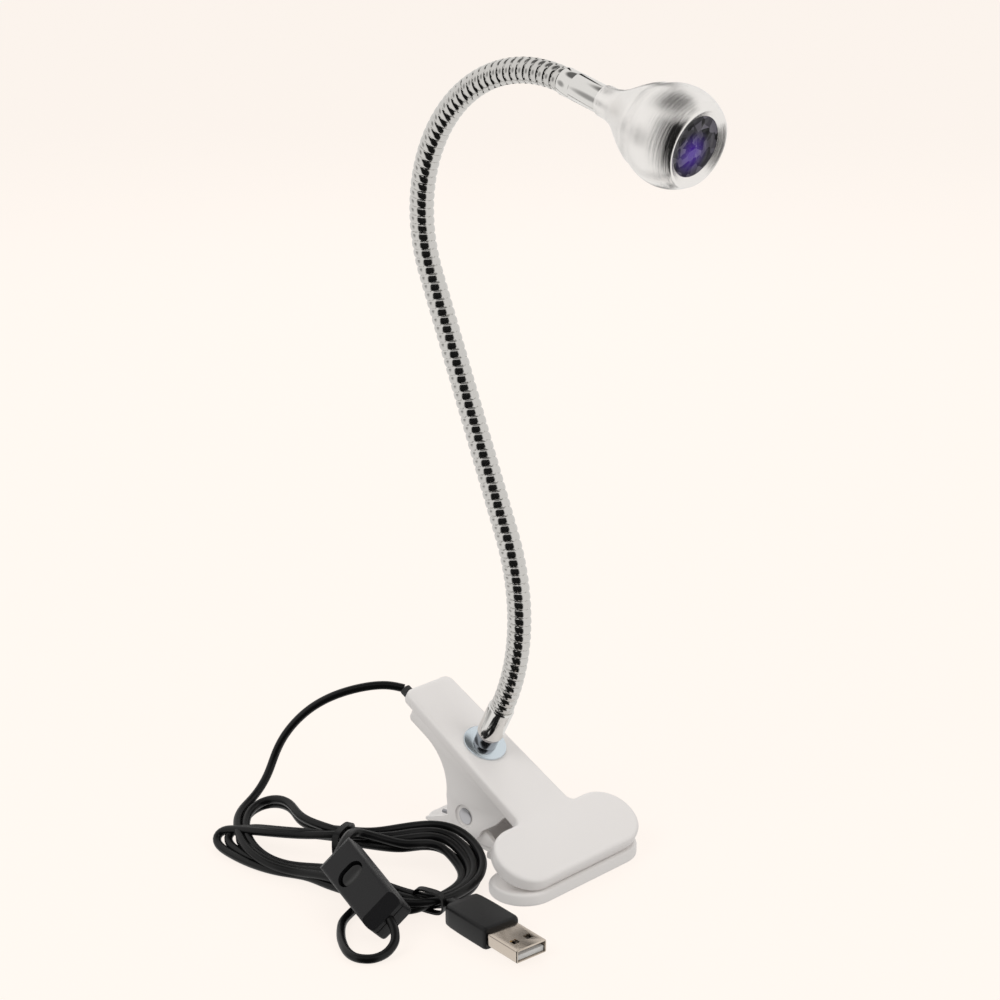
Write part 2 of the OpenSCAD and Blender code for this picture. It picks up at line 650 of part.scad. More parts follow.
lower_arm();
upper_arm();
hinge_pin();
spring_lower_half();
spring_upper_half();
lower_pad();
upper_pad();
base_washer();
lock_washer();
clamp_nut();
base_stud();
base_collar();
base_ferrule();
color("silver") neck_link(1);  // neck_link_1
color("silver") neck_link(2);  // neck_link_2
color("silver") neck_link(3);  // neck_link_3
color("silver") neck_link(4);  // neck_link_4
color("silver") neck_link(5);  // neck_link_5
color("silver") neck_link(6);  // neck_link_6
color("silver") neck_link(7);  // neck_link_7
color("silver") neck_link(8);  // neck_link_8
color("silver") neck_link(9);  // neck_link_9
color("red") neck_wire(1);  // neck_wire_1
color("red") neck_wire(2);  // neck_wire_2
color("red") neck_wire(3);  // neck_wire_3
color("red") neck_wire(4);  // neck_wire_4
color("red") neck_wire(5);  // neck_wire_5
color("red") neck_wire(6);  // neck_wire_6
color("red") neck_wire(7);  // neck_wire_7
color("red") neck_wire(8);  // neck_wire_8
color("red") neck_wire(9);  // neck_wire_9
arm_wire();
cord_grommet();
head_ferrule();
head_shell();
head_bezel();
lens_cover();
lens_seal();
lens_body();
lens_holder();
led_emitter();
led_board();
board_screws();
head_wire();
cord_lead();
cord_hank();
cord_bridge();
cord_loop();
tie_1();
tie_2();
switch_top();
switch_bottom();
switch_rocker();
switch_contacts();
switch_screws();
plug_overmould();
plug_shell();
plug_tongue();
plug_contacts();
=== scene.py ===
import math
import random
import bmesh
import bpy
from mathutils import Euler, Matrix, Vector


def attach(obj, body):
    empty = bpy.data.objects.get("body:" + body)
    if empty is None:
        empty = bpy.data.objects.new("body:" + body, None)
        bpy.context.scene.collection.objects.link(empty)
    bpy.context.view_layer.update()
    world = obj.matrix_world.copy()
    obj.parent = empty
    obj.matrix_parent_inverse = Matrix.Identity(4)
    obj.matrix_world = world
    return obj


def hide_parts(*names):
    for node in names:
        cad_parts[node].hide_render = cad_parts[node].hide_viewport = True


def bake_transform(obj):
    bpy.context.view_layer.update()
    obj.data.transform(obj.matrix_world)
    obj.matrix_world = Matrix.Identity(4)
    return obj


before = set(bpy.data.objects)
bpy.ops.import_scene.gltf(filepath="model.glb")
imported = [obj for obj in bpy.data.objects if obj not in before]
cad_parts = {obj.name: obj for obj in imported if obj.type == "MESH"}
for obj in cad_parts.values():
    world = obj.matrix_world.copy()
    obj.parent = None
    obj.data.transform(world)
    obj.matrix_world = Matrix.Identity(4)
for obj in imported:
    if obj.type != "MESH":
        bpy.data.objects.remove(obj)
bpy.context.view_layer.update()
MM = 0.001
rng = random.Random(7)

# ---------------------------------------------------------------- driving dimensions, in mm
ARM_TILT = 27
ARM_HEIGHT = 34
HANDLE_REACH = 31.5
JAW_REACH = 55.5
JAW_R = 11.5
LOBE_Y = 19
HALF_BACK = 10.5
HALF_WAIST = 12
WALL = 2.2
SKIRT_Y = 10.4
EAR_T = 1.6
PIVOT = (0.5, 10.5)
FOOT_LEN = 18
HOSE_R = 4.0
# The hose bends, runs straight, and bends again; headings are from straight up towards +X, in degrees
BEND_A = 64
STRAIGHT = 88
BEND_B = 112
LEAN = -23
HEAD_DIR = 104
LINK_ENDS = (
    [BEND_A * i / 2 for i in range(2)]
    + [BEND_A + STRAIGHT * i / 3 for i in range(3)]
    + [BEND_A + STRAIGHT + BEND_B * i / 4 for i in range(5)]
)
NECK_JOINTS = len(LINK_ENDS) - 2
HEAD_FERRULE = 16.2
BALL_BACK = 28.3
BALL_R = 15.3
BEZEL_R = 11.9
LENS_R = 9.3
LENS_SINK = 1.4
CORD_D = 2.9
LOWER_JAW_S = 37.1

# Strength of the surroundings, as seen by mirror-like surfaces and by all others
SHINE = 0.88
AMBIENT = 0.54


# ---------------------------------------------------------------- materials
def node_material(name, color, rough, metal=0.0, **more):
    m = bpy.data.materials.new(name)
    m.use_nodes = True
    b = m.node_tree.nodes["Principled BSDF"]
    b.inputs["Base Color"].default_value = (*color, 1)
    b.inputs["Roughness"].default_value = rough
    b.inputs["Metallic"].default_value = metal
    for key, value in more.items():
        b.inputs[key.replace("_", " ")].default_value = value
    return m


def bump_noise(m, scale, strength, distance=0.0002, detail=3):
    t = m.node_tree
    b = t.nodes["Principled BSDF"]
    where = t.nodes.new("ShaderNodeTexCoord")
    noise = t.nodes.new("ShaderNodeTexNoise")
    noise.inputs["Scale"].default_value = scale
    noise.inputs["Detail"].default_value = detail
    bump = t.nodes.new("ShaderNodeBump")
    bump.inputs["Strength"].default_value = strength
    bump.inputs["Distance"].default_value = distance
    t.links.new(where.outputs["Object"], noise.inputs["Vector"])
    t.links.new(noise.outputs["Fac"], bump.inputs["Height"])
    t.links.new(bump.outputs["Normal"], b.inputs["Normal"])
    return m


def turned(m, lines, strength):
    """Fine lathe lines around a turned piece: noise that changes along the profile only."""
    t = m.node_tree
    b = t.nodes["Principled BSDF"]
    uv = t.nodes.new("ShaderNodeTexCoord")
    scale = t.nodes.new("ShaderNodeMapping")
    scale.inputs["Scale"].default_value = (0.6, lines, 0)
    noise = t.nodes.new("ShaderNodeTexNoise")
    noise.noise_dimensions = "2D"
    noise.inputs["Scale"].default_value = 1
    noise.inputs["Detail"].default_value = 4
    bump = t.nodes.new("ShaderNodeBump")
    bump.inputs["Strength"].default_value = strength
    bump.inputs["Distance"].default_value = 0.0002
    t.links.new(uv.outputs["UV"], scale.inputs["Vector"])
    t.links.new(scale.outputs["Vector"], noise.inputs["Vector"])
    t.links.new(noise.outputs["Fac"], bump.inputs["Height"])
    t.links.new(bump.outputs["Normal"], b.inputs["Normal"])
    return m


PLASTIC = bump_noise(node_material("clip_white", (0.86, 0.83, 0.81), 0.42, Coat_Weight=0.15,
                                   Coat_Roughness=0.3), 900, 0.05)
ZINC = node_material("zinc_blue", (0.68, 0.76, 0.82), 0.2, 1.0)
CHROME = node_material("chrome", (0.80, 0.79, 0.77), 0.09, 1.0)
HOSE_CHROME = node_material("hose_chrome", (0.66, 0.65, 0.63), 0.14, 1.0)
# Chrome made darker in its colour for the collar: a painted reflection of dark surroundings, not a darker
# metal.
CHROME_PAINTED_REFLECTION = node_material("dark_chrome", (0.42, 0.41, 0.42), 0.08, 1.0)
SATIN = turned(node_material("satin_aluminium", (0.97, 0.95, 0.93), 0.27, 1.0, Anisotropic=0.5), 90, 0.4)
BRIGHT = turned(node_material("bright_aluminium", (0.93, 0.91, 0.89), 0.16, 1.0, Anisotropic=0.6), 90, 0.3)
STEEL = node_material("steel", (0.5, 0.5, 0.52), 0.3, 1.0)
SPRING = node_material("spring_wire", (0.35, 0.35, 0.37), 0.3, 1.0)
RUBBER = bump_noise(node_material("rubber", (0.03, 0.03, 0.03), 0.7), 700, 0.2)
CORD = bump_noise(node_material("cord_black", (0.004, 0.004, 0.0042), 0.34, Specular_IOR_Level=0.3),
                  500, 0.08)
SWITCH = bump_noise(node_material("switch_black", (0.008, 0.008, 0.009), 0.46, Specular_IOR_Level=0.3),
                    1600, 0.35, 0.0001)
ROCKER = node_material("rocker_black", (0.003, 0.003, 0.0035), 0.16, Specular_IOR_Level=0.35)
MOULD = bump_noise(node_material("mould_black", (0.007, 0.007, 0.0075), 0.42, Specular_IOR_Level=0.3),
                   1400, 0.2, 0.0001)
NICKEL = node_material("nickel", (0.66, 0.58, 0.50), 0.2, 1.0)
GOLD = node_material("gold", (0.85, 0.62, 0.25), 0.22, 1.0)
TONGUE = node_material("tongue_white", (0.75, 0.74, 0.72), 0.45)
BOARD = node_material("board_white", (0.8, 0.8, 0.78), 0.4)
CLEAR = node_material("clear", (0.8, 0.8, 0.9), 0.05, Transmission_Weight=0.9, IOR=1.49)
WIRE = node_material("wire_red", (0.4, 0.02, 0.02), 0.45)


def lens_material():
    """Dark faceted lens: small cells, some black and some grey, with a violet glow."""
    m = node_material("lens_violet", (0.02, 0.015, 0.05), 0.25, Specular_IOR_Level=0.15)
    t = m.node_tree
    b = t.nodes["Principled BSDF"]
    where = t.nodes.new("ShaderNodeTexCoord")
    cells = t.nodes.new("ShaderNodeTexVoronoi")
    cells.inputs["Scale"].default_value = 420
    ramp = t.nodes.new("ShaderNodeValToRGB")
    ramp.color_ramp.elements[0].color = (0.004, 0.004, 0.006, 1)
    ramp.color_ramp.elements[0].position = 0.35
    ramp.color_ramp.elements[1].color = (0.16, 0.15, 0.18, 1)
    ramp.color_ramp.elements[1].position = 0.95
    t.links.new(where.outputs["Object"], cells.inputs["Vector"])
    t.links.new(cells.outputs["Color"], ramp.inputs["Fac"])
    t.links.new(ramp.outputs["Color"], b.inputs["Base Color"])
    uv = t.nodes.new("ShaderNodeMapping")
    uv.inputs["Location"].default_value = (-0.62, -0.46, 0)
    far = t.nodes.new("ShaderNodeVectorMath")
    far.operation = "LENGTH"
    glow = t.nodes.new("ShaderNodeMapRange")
    glow.interpolation_type = "SMOOTHSTEP"
    glow.inputs["From Min"].default_value = 0.0
    glow.inputs["From Max"].default_value = 0.42
    glow.inputs["To Min"].default_value = 0.30
    glow.inputs["To Max"].default_value = 0.0
    t.links.new(where.outputs["UV"], uv.inputs["Vector"])
    t.links.new(uv.outputs["Vector"], far.inputs[0])
    t.links.new(far.outputs["Value"], glow.inputs["Value"])
    b.inputs["Emission Color"].default_value = (0.14, 0.02, 0.72, 1)
    t.links.new(glow.outputs["Result"], b.inputs["Emission Strength"])
    return m


LENS = lens_material()


# ---------------------------------------------------------------- mesh helpers
def make(name, verts, faces, mat, body, slot=None, stands_for=(), sharp=35, uvs=None):
    """A mesh piece from points in mm, riding on a body. uvs has one (u, v) per vertex."""
    me = bpy.data.meshes.new(name)
    me.from_pydata([[c * MM for c in v] for v in verts], [], faces)
    if uvs is not None:
        layer = me.uv_layers.new(name="UVMap")
        for loop in me.loops:
            layer.data[loop.index].uv = uvs[loop.vertex_index]
    bm = bmesh.new()
    bm.from_mesh(me)
    bmesh.ops.recalc_face_normals(bm, faces=bm.faces)
    bm.to_mesh(me)
    bm.free()
    me.polygons.foreach_set("use_smooth", [True] * len(me.polygons))
    me.set_sharp_from_angle(angle=math.radians(sharp))
    me.materials.append(mat)
    o = bpy.data.objects.new(name, me)
    bpy.context.scene.collection.objects.link(o)
    if body is not None:
        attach(o, body)
    if stands_for:
        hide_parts(*stands_for)
    return o


def bevel(o, width, segments=2, angle=35):
    m = o.modifiers.new("bevel", "BEVEL")
    m.width = width * MM
    m.segments = segments
    m.limit_method = "ANGLE"
    m.angle_limit = math.radians(angle)
    m.harden_normals = False
    return apply(o)


def apply(o):
    """Bakes the modifiers of a piece into its mesh."""
    bpy.context.view_layer.update()
    done = bpy.data.meshes.new_from_object(o.evaluated_get(bpy.context.evaluated_depsgraph_get()))
    o.modifiers.clear()
    o.data = done
    done.set_sharp_from_angle(angle=math.radians(35))
    return o


def cut(o, *tools):
    """Takes the tools' volume out of a piece, and removes the tools."""
    for tool in tools:
        m = o.modifiers.new("cut", "BOOLEAN")
        m.object = tool
        m.solver = "EXACT"
        m.operation = "DIFFERENCE"
    apply(o)
    for tool in tools:
        bpy.data.objects.remove(tool)
    return o


def grid_faces(rows, columns, wrap=True):
    """Quads between rows of points, each row a ring of `columns` points when wrap is true."""
    last = columns if wrap else columns - 1
    return [
        (i * columns + k, i * columns + (k + 1) % columns,
         (i + 1) * columns + (k + 1) % columns, (i + 1) * columns + k)
        for i in range(rows - 1)
        for k in range(last)
    ]


def lathe(name, profile, place, mat, body, slot=None, stands_for=(), seg=96, sharp=35):
    """Turns a profile of (radius, height) about +Z and puts it in place."""
    verts, uvs = [], []
    length = 0.0
    for i, (r, z) in enumerate(profile):
        if i:
            length += math.dist(profile[i - 1], (r, z))
        for k in range(seg):
            a = 2 * math.pi * k / seg
            verts.append(place @ Vector((r * math.cos(a), r * math.sin(a), z)))
            uvs.append((abs(2 * k / seg - 1), length / 20))
    faces = grid_faces(len(profile), seg)
    if profile[0] != profile[-1]:
        faces.append(tuple(range(seg)))
        faces.append(tuple((len(profile) - 1) * seg + k for k in range(seg)))
    else:
        verts = verts[:-seg]
        uvs = uvs[:-seg]
        wrap = (len(profile) - 1) * seg
        faces = [tuple(v % wrap for v in f) for f in faces]
    return make(name, verts, faces, mat, body, slot, stands_for, sharp, uvs)


def arc(cx, cy, r, a0, a1, steps):
    """Points on a circle from angle a0 to a1, in degrees."""
    return [
        (cx + r * math.cos(math.radians(a0 + (a1 - a0) * i / steps)),
         cy + r * math.sin(math.radians(a0 + (a1 - a0) * i / steps)))
        for i in range(steps + 1)
    ]


def inset(outline, d):
    """Moves a closed counter-clockwise outline inwards by d."""
    n = len(outline)
    out = []
    for i, (x, y) in enumerate(outline):
        ax, ay = outline[i - 1]
        bx, by = outline[(i + 1) % n]
        u = Vector((x - ax, y - ay)).normalized()
        w = Vector((bx - x, by - y)).normalized()
        half = u + w
        normal = Vector((-half.y, half.x)).normalized()
        grow = 1 / max(0.5, normal.dot(Vector((-u.y, u.x))))
        out.append((x + normal.x * d * grow, y + normal.y * d * grow))
    return out


def layered(name, outline, layers, place, mat, body, **more):
    """A closed solid from one outline: each layer is (inset, height), or a height function of (x, y)."""
    verts = []
    for d, h in layers:
        for x, y in inset(outline, d):
            verts.append(place @ Vector((x, y, h(x, y) if callable(h) else h)))
    n = len(outline)
    faces = grid_faces(len(layers), n)
    faces.append(tuple(range(n)))
    faces.append(tuple((len(layers) - 1) * n + k for k in range(n)))
    return make(name, verts, faces, mat, body, **more)


def block(name, low, high, place, mat, body, round_by=0.3, segments=2, **more):
    """A box between two corners with rounded edges."""
    verts = [place @ Vector((x, y, z)) for x in (low[0], high[0]) for y in (low[1], high[1])
             for z in (low[2], high[2])]
    faces = [(0, 1, 3, 2), (4, 6, 7, 5), (0, 4, 5, 1), (2, 3, 7, 6), (0, 2, 6, 4), (1, 5, 7, 3)]
    o = make(name, verts, faces, mat, body, **more)
    return bevel(o, round_by, segments) if round_by else o


def prism(name, outline, y0, y1, place, mat, body, round_by=0.0, **more):
    """Extrudes an outline given in the X-Z plane from y0 to y1."""
    n = len(outline)
    verts = [place @ Vector((x, y, z)) for y in (y0, y1) for x, z in outline]
    faces = grid_faces(2, n) + [tuple(range(n)), tuple(n + k for k in range(n))]
    o = make(name, verts, faces, mat, body, **more)
    return bevel(o, round_by) if round_by else o


def join(name, objs):
    """Joins pieces on the same body into the first one, under a new name."""
    first = objs[0]
    bm = bmesh.new()
    bm.from_mesh(first.data)
    slots = list(first.data.materials)
    for o in objs[1:]:
        me = o.data.copy()
        me.transform(first.matrix_world.inverted() @ o.matrix_world)
        shift = []
        for mat in me.materials:
            if mat not in slots:
                slots.append(mat)
                first.data.materials.append(mat)
            shift.append(slots.index(mat))
        for p in me.polygons:
            p.material_index = shift[p.material_index]
        bm.from_mesh(me)
        bpy.data.objects.remove(o)
    bm.to_mesh(first.data)
    bm.free()
    first.name = name
    return first


def turned_to(x, y, z, direction):
    """Place whose +Z points along a heading from straight up towards +X, in degrees."""
    return Matrix.Translation((x, y, z)) @ Matrix.Rotation(math.radians(direction), 4, "Y")


# ---------------------------------------------------------------- the hose's path
def swing(start, a, b, k):
    return (start[0] + (math.cos(a) - math.cos(b)) / k, start[1] + (math.sin(b) - math.sin(a)) / k)


def hose_path():
    tilt, lean, head = (math.radians(v) for v in (ARM_TILT, LEAN, HEAD_DIR))
    k_a = (lean - tilt) / BEND_A
    k_b = (head - lean) / BEND_B
    start = (FOOT_LEN * math.sin(tilt), ARM_HEIGHT + FOOT_LEN * math.cos(tilt))
    end_a = swing(start, tilt, lean, k_a)
    start_b = (end_a[0] + STRAIGHT * math.sin(lean), end_a[1] + STRAIGHT * math.cos(lean))

    def at(t):
        if t < BEND_A:
            h = tilt + k_a * t
            return (*swing(start, tilt, h, k_a), h)
        if t < BEND_A + STRAIGHT:
            along = t - BEND_A
            return (end_a[0] + along * math.sin(lean), end_a[1] + along * math.cos(lean), lean)
        h = lean + k_b * (t - BEND_A - STRAIGHT)
        return (*swing(start_b, lean, h, k_b), h)

    return at


hose_at = hose_path()
HOSE_LEN = BEND_A + STRAIGHT + BEND_B
ON_ARM = Matrix.Translation((0, 0, ARM_HEIGHT)) @ Matrix.Rotation(math.radians(ARM_TILT), 4, "Y")
HEAD_X = hose_at(HOSE_LEN)[0] + (HEAD_FERRULE + BALL_BACK) * math.sin(math.radians(HEAD_DIR))
HEAD_Z = hose_at(HOSE_LEN)[1] + (HEAD_FERRULE + BALL_BACK) * math.cos(math.radians(HEAD_DIR))
ON_HEAD = turned_to(HEAD_X, 0, HEAD_Z, HEAD_DIR)
FRONT_Z = math.sqrt(BALL_R ** 2 - BEZEL_R ** 2)


# ---------------------------------------------------------------- camera, lights, floor
def camera():
    data = bpy.data.cameras.new("camera")
    data.lens = 87.4
    data.sensor_width = 36
    data.clip_start = 0.01
    o = bpy.data.objects.new("camera", data)
    bpy.context.scene.collection.objects.link(o)
    o.location = (0.5295, -0.5270, 0.3822)
    aim = Vector((-0.002, 0.0094, 0.1184)) - o.location
    o.rotation_euler = aim.to_track_quat("-Z", "Y").to_euler()
    bpy.context.scene.camera = o


def area_light(name, location, aim, size, power):
    data = bpy.data.lights.new(name, "AREA")
    data.energy = power
    data.shape = "RECTANGLE"
    data.size = size
    data.size_y = size
    o = bpy.data.objects.new(name, data)
    bpy.context.scene.collection.objects.link(o)
    o.location = location
    o.rotation_euler = (Vector(aim) - Vector(location)).to_track_quat("-Z", "Y").to_euler()
    o.visible_glossy = False


def world_light():
    """Even light for matt surfaces. Shiny ones see a dark strip near the viewer and a dark top."""
    world = bpy.data.worlds.new("world")
    bpy.context.scene.world = world
    world.use_nodes = True
    t = world.node_tree
    t.nodes.clear()

    def math_node(operation, a, b=None, c=None):
        n = t.nodes.new("ShaderNodeMath")
        n.operation = operation
        for socket, value in zip(n.inputs, (a, b, c)):
            if isinstance(value, (int, float)):
                socket.default_value = value
            elif value is not None:
                t.links.new(value, socket)
        return n.outputs[0]

    def step(value, low, high, at_low, at_high):
        n = t.nodes.new("ShaderNodeMapRange")
        n.interpolation_type = "SMOOTHSTEP"
        for key, number in (("From Min", low), ("From Max", high), ("To Min", at_low), ("To Max", at_high)):
            n.inputs[key].default_value = number
        t.links.new(value, n.inputs["Value"])
        return n.outputs["Result"]

    where = t.nodes.new("ShaderNodeTexCoord")
    part = t.nodes.new("ShaderNodeSeparateXYZ")
    t.links.new(where.outputs["Generated"], part.inputs[0])
    x, y, z = part.outputs
    across = math_node("ADD", math_node("MULTIPLY", x, 0.71), math_node("MULTIPLY", y, 0.704))
    front = math_node("SUBTRACT", math_node("MULTIPLY", x, 0.704), math_node("MULTIPLY", y, 0.71))
    off_axis = math_node("ABSOLUTE", math_node("DIVIDE", across, math_node("MAXIMUM", front, 0.05)))
    strip = math_node("MULTIPLY", step(off_axis, 0.72, 1.05, 1, 0), step(z, 0.62, 0.82, 1, 0))
    top = step(z, 0.80, 0.93, 0, 0.85)
    side = step(across, -0.999, -0.93, 0.6, 0)
    dark = math_node("MAXIMUM", math_node("MAXIMUM", strip, top), side)
    shine = math_node("MULTIPLY_ADD", dark, -SHINE + 0.01, SHINE)
    ray = t.nodes.new("ShaderNodeLightPath").outputs
    glossy = ray["Is Glossy Ray"]
    strength = math_node("ADD", math_node("MULTIPLY", glossy, shine),
                         math_node("MULTIPLY", math_node("SUBTRACT", 1, glossy), AMBIENT))
    strength = math_node("MAXIMUM", strength, ray["Is Camera Ray"])
    sky = t.nodes.new("ShaderNodeBackground")
    sky.inputs["Color"].default_value = (1.0, 0.985, 0.965, 1)
    t.links.new(strength, sky.inputs["Strength"])
    out = t.nodes.new("ShaderNodeOutputWorld")
    t.links.new(sky.outputs[0], out.inputs[0])


def studio():
    world_light()
    bpy.context.scene.view_settings.view_transform = "Standard"
    m = node_material("floor", (0.13, 0.121, 0.113), 0.9)
    b = m.node_tree.nodes["Principled BSDF"]
    b.inputs["Specular IOR Level"].default_value = 0.0
    b.inputs["Emission Color"].default_value = (1.0, 0.93, 0.871, 1)
    b.inputs["Emission Strength"].default_value = 0.90
    me = bpy.data.meshes.new("floor")
    me.from_pydata([(-30, -30, 0), (30, -30, 0), (30, 30, 0), (-30, 30, 0)], [], [(0, 1, 2, 3)])
    me.materials.append(m)
    floor = bpy.data.objects.new("floor", me)
    bpy.context.scene.collection.objects.link(floor)
    floor.visible_glossy = False
    floor.visible_diffuse = False
    area_light("key", (-0.10, -0.80, 0.85), (0, 0, 0.05), 0.6, 3.6)
    area_light("fill", (0.9, 0.15, 0.6), (0, 0, 0.10), 0.6, 2.2)
    area_light("back", (-0.6, 0.6, 0.7), (0, 0, 0.15), 0.6, 2.5)


# ---------------------------------------------------------------- clip
def arm_outline():
    """Outline of the upper arm, seen from above: s forward, y across."""
    jaw_s = JAW_REACH - JAW_R
    notch = jaw_s - JAW_R
    fillet = 2.5
    right = (
        [(-HANDLE_REACH, -4), (-HANDLE_REACH, -HALF_BACK + 3)]
        + arc(-HANDLE_REACH + 3, -HALF_BACK + 3, 3, 180, 270, 6)[1:]
        + [(-10, -HALF_BACK - 0.5), (10, -HALF_BACK - 1)]
        + arc(notch - fillet, -HALF_WAIST - fillet, fillet, 90, 0, 6)
        + [(notch, -LOBE_Y + 1)]
        + arc(jaw_s, -LOBE_Y, JAW_R, 180, 360, 28)
        + [(JAW_REACH, -8)]
    )
    return right + [(x, -y) for x, y in reversed(right)]


def smooth_step(x, low, high):
    t = min(1, max(0, (x - low) / (high - low)))
    return t * t * (3 - 2 * t)


def rim(s):
    """Depth of the upper arm's rim: 4 mm along the handle, 5 mm at the jaws."""
    return 4 + smooth_step(s, 24, 34)


def bite(s, n):
    """Keeps the rim's lower edge out of the lower jaw."""
    low = (4.42 - ARM_HEIGHT + s * math.sin(math.radians(ARM_TILT))) / math.cos(math.radians(ARM_TILT))
    return max(n, low)


PIVOT_S = 11.1
PIVOT_N = -20.7


def ear_outline():
    """Side wall of the upper arm: a skirt along the handle that runs into a round ear."""
    s, n = PIVOT_S, PIVOT_N
    return (
        [(-25.5, -2.6), (-25.5, -7), (-24.5, -8)]
        + arc(s - 27.1, n - 5.3, 18, 90, 20, 14)
        + arc(s, n, 8.5, 196, 368, 24)
        + [(23.5, -12), (25, -7), (26.5, -4.5), (28, -2.6)]
    )


def upper_arm():
    def low(add):
        return lambda x, y: bite(x, -rim(x) + add)

    outline = arm_outline()
    layers = [
        (1.5, 0), (0.9, -0.08), (0.45, -0.3), (0.12, -0.7), (0, -1.3), (0, low(0.6)), (0.15, low(0.15)),
        (0.5, low(0)), (WALL - 0.3, low(0)), (WALL, low(0.3)), (WALL, lambda x, y: -WALL - 0.1),
    ]
    shell = layered("upper_arm_shell", outline, layers, ON_ARM, PLASTIC, "upper_arm")
    pieces = [shell]
    for side in (-1, 1):
        y0, y1 = sorted((side * SKIRT_Y, side * (SKIRT_Y - EAR_T)))
        ear = prism("ear", ear_outline(), y0, y1, ON_ARM, PLASTIC, "upper_arm")
        recess = lathe("recess", [(4.2, -0.95), (4.2, 0.95)],
                       ON_ARM @ Matrix.Translation((PIVOT_S, side * (SKIRT_Y + 0.1), PIVOT_N))
                       @ Matrix.Rotation(math.pi / 2, 4, "X"), PLASTIC, None, seg=48)
        pieces.append(bevel(cut(ear, recess), 0.35))
    pieces.append(block("nose", (JAW_REACH - 12, -22, -4), (JAW_REACH - 2.5, 22, -2), ON_ARM, PLASTIC,
                        "upper_arm", 0.2))
    o = join("upper_arm_body", pieces)
    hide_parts("upper_arm")


def lower_outline():
    """Outline of the lower arm, seen from above."""
    notch = LOWER_JAW_S - JAW_R
    right = (
        [(-22, -3.6)] + arc(-17, -3.6, 5, 180, 270, 6)[1:]
        + [(6, -8.6), (11.5, -8.6), (13, -12), (notch - 2, -12)]
        + arc(notch - 2, -14, 2, 90, 0, 5)
        + [(notch, -LOBE_Y + 1)]
        + arc(LOWER_JAW_S, -LOBE_Y, JAW_R, 180, 360, 28)
        + [(LOWER_JAW_S + JAW_R, -8)]
    )
    return right + [(x, -y) for x, y in reversed(right)]


def lower_arm():
    def top(add):
        return lambda x, y: 2.9 + 1.4 * smooth_step(x, 26, 33) + add

    layers = [(0.7, 0), (0.25, 0.08), (0.05, 0.35), (0, 0.8), (0, top(-1.0)), (0.15, top(-0.5)),
              (0.5, top(-0.12)), (1.0, top(0))]
    plate = layered("lower_plate", lower_outline(), layers, Matrix.Identity(4), PLASTIC, "lower_arm")
    pieces = [plate]
    side_wall = (
        [(-20.5, 1.5), (-20.5, 2.6), (-13, 5.5), (-5.5, 9.3)] + arc(*PIVOT, 6, 170, 10, 14)
        + [(8.5, 8), (13, 4.5), (16, 2.8), (16, 1.5)]
    )
    for side in (-1, 1):
        y0, y1 = sorted((side * 8.6, side * 7.0))
        pieces.append(prism("wall", side_wall, y0, y1, Matrix.Identity(4), PLASTIC, "lower_arm", 0.3))
    o = join("lower_arm_body", pieces)
    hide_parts("lower_arm")


def hinge_pin():
    """Pin with a round head at each end. The spring stays as the CAD makes it."""
    x, z = PIVOT
    across = Matrix.Translation((x, 0, z)) @ Matrix.Rotation(math.pi / 2, 4, "X")
    profile = [(0.6, -10.15), (2.3, -10.1), (2.8, -9.9), (2.9, -9.65), (1.5, -9.6), (1.5, 9.6), (2.9, 9.65),
               (2.8, 9.9), (2.3, 10.1), (0.6, 10.15)]
    lathe("hinge_pin_rod", profile, across, STEEL, "upper_arm", "steel", ["hinge_pin"], 48)


# ---------------------------------------------------------------- foot of the gooseneck
def foot():
    lathe("washer", [(3.5, 0.02), (7.3, 0.02), (7.55, 0.25), (7.6, 0.5), (7.5, 0.8), (7.2, 1.0), (3.5, 1.0),
                     (3.5, 0.02)], ON_ARM, ZINC, "upper_arm", "zinc", ["base_washer"])
    # The collar is chrome; its darker colour is a painted dark reflection.
    lathe("collar", [(3.5, 1.0), (3.9, 1.02), (4.0, 1.2), (4.0, 5.3), (3.8, 5.5), (3.5, 5.5), (3.5, 1.0)],
          ON_ARM, CHROME_PAINTED_REFLECTION, "upper_arm", "dark_chrome", ["base_collar"])
    ferrule = [(3.5, 5.52), (4.2, 5.55), (4.5, 5.85), (4.5, 17.5), (4.35, 17.9), (4.1, 18.1), (3.5, 18.1),
               (3.5, 5.52)]
    lathe("lower_ferrule", ferrule, ON_ARM, CHROME, "upper_arm", "chrome", ["base_ferrule"])


# ---------------------------------------------------------------- hose
def hose_piece(name, t0, t1):
    """Round-wire hose between two distances along its path: helical ridges with narrow grooves."""
    pitch = 2.8
    per_pitch = 14
    seg = 36
    groove_r = HOSE_R - 0.7
    steps = max(2, round((t1 - t0) / pitch * per_pitch))
    verts, uvs = [], []
    for i in range(steps + 1):
        t = t0 + (t1 - t0) * i / steps
        x, z, h = hose_at(t)
        out = Vector((math.cos(h), 0, -math.sin(h)))
        side = Vector((0, 1, 0))
        for k in range(seg):
            a = 2 * math.pi * k / seg
            u = (t / pitch + k / seg) % 1.0
            r = groove_r + (HOSE_R - groove_r) * max(0.0, 1 - abs(2 * u - 1) ** 2.6) ** 0.5
            p = Vector((x, 0, z)) + (out * math.cos(a) + side * math.sin(a)) * r
            verts.append(p)
            uvs.append((k / seg, t / 20))
    faces = grid_faces(steps + 1, seg)
    faces += [tuple(range(seg)), tuple(steps * seg + k for k in range(seg))]
    return make(name, verts, faces, HOSE_CHROME, None, sharp=70, uvs=uvs)


